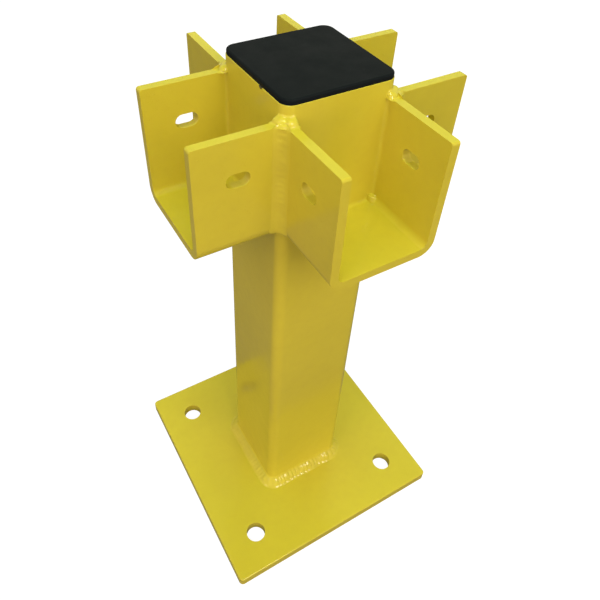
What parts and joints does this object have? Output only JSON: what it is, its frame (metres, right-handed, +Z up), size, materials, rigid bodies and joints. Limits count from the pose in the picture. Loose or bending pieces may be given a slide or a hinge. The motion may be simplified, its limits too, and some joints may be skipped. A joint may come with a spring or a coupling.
{
  "type": "guard rail post",
  "caption": "Square steel post on an anchor plate, with a folded channel bracket on each side that takes a drop-in guard rail end, and a moulded end cap.",
  "frame": {"origin": "middle of the anchor plate's underside, on the floor", "axes": "+Z up along the post; -Y out of the front bracket, +X out of the right bracket"},
  "size_m": [0.22, 0.22, 0.4535],
  "materials": {
    "yellow_paint": "gloss enamel over steel and weld beads",
    "black_cap": "moulded, slightly satin"
  },
  "bodies": {
    "root": {"base_plate": "yellow_paint", "post_tube": "yellow_paint", "bracket_front": "yellow_paint", "bracket_right": "yellow_paint", "bracket_back": "yellow_paint", "bracket_left": "yellow_paint", "end_cap": "black_cap", "base_weld": "yellow_paint", "corner_weld_front_right": "yellow_paint", "corner_weld_back_right": "yellow_paint", "corner_weld_back_left": "yellow_paint", "corner_weld_front_left": "yellow_paint", "floor_weld_front": "yellow_paint", "floor_weld_right": "yellow_paint", "floor_weld_back": "yellow_paint", "floor_weld_left": "yellow_paint", "tack_welds_front": "yellow_paint", "tack_welds_right": "yellow_paint", "tack_welds_back": "yellow_paint", "tack_welds_left": "yellow_paint"}
  },
  "joints": []
}
